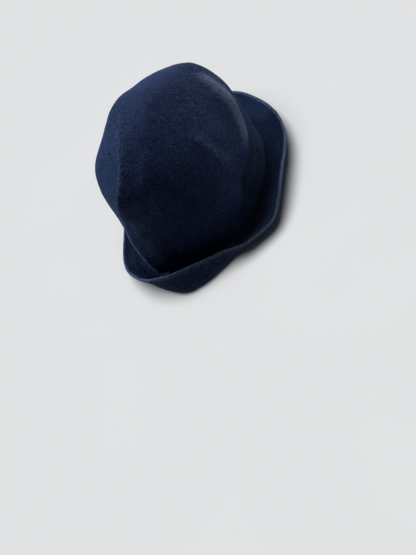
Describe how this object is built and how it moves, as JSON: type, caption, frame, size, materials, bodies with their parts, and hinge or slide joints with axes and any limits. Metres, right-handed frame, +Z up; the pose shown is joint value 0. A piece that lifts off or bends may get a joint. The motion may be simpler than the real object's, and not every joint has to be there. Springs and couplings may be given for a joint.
{
  "type": "felt hat",
  "caption": "Soft wool-felt hat with a deep rounded crown and an uneven brim that rolls up all round, high and close at the back, with a grosgrain sweatband inside.",
  "frame": {"origin": "centre of the oval head opening, in the plane of the crown's lower edge", "axes": "+Z up the crown, -Y the wearer's front, +X the wearer's left"},
  "size_m": [0.2249, 0.2705, 0.1684],
  "materials": {
    "wool_felt": "matt navy wool felt with a short fuzzy nap",
    "grosgrain": "ribbed navy-black ribbon with a low sheen",
    "felt_thread": "navy sewing thread",
    "trim_thread": "grey sewing thread",
    "woven_label": "blank woven label, matt",
    "satin_tag": "blank white satin"
  },
  "bodies": {
    "hat": {"crown": "wool_felt", "brim": "wool_felt", "crown_seam_stitches": "felt_thread", "sweatband": "grosgrain", "sweatband_tail": "grosgrain", "sweatband_stitches": "trim_thread", "sweatband_tail_stitches": "trim_thread", "maker_label": "woven_label", "maker_label_stitches": "trim_thread", "care_tag_hem": "satin_tag", "care_tag_stitches": "trim_thread"},
    "care_tag_flap": {"care_tag": "satin_tag"}
  },
  "joints": [
    {"name": "care_tag_flip", "type": "hinge", "parent": "hat", "child": "care_tag_flap", "pos_m": [0.0724, 0, 0.0211], "axis": [0, 1, 0], "range_deg": [0, 110]}
  ]
}
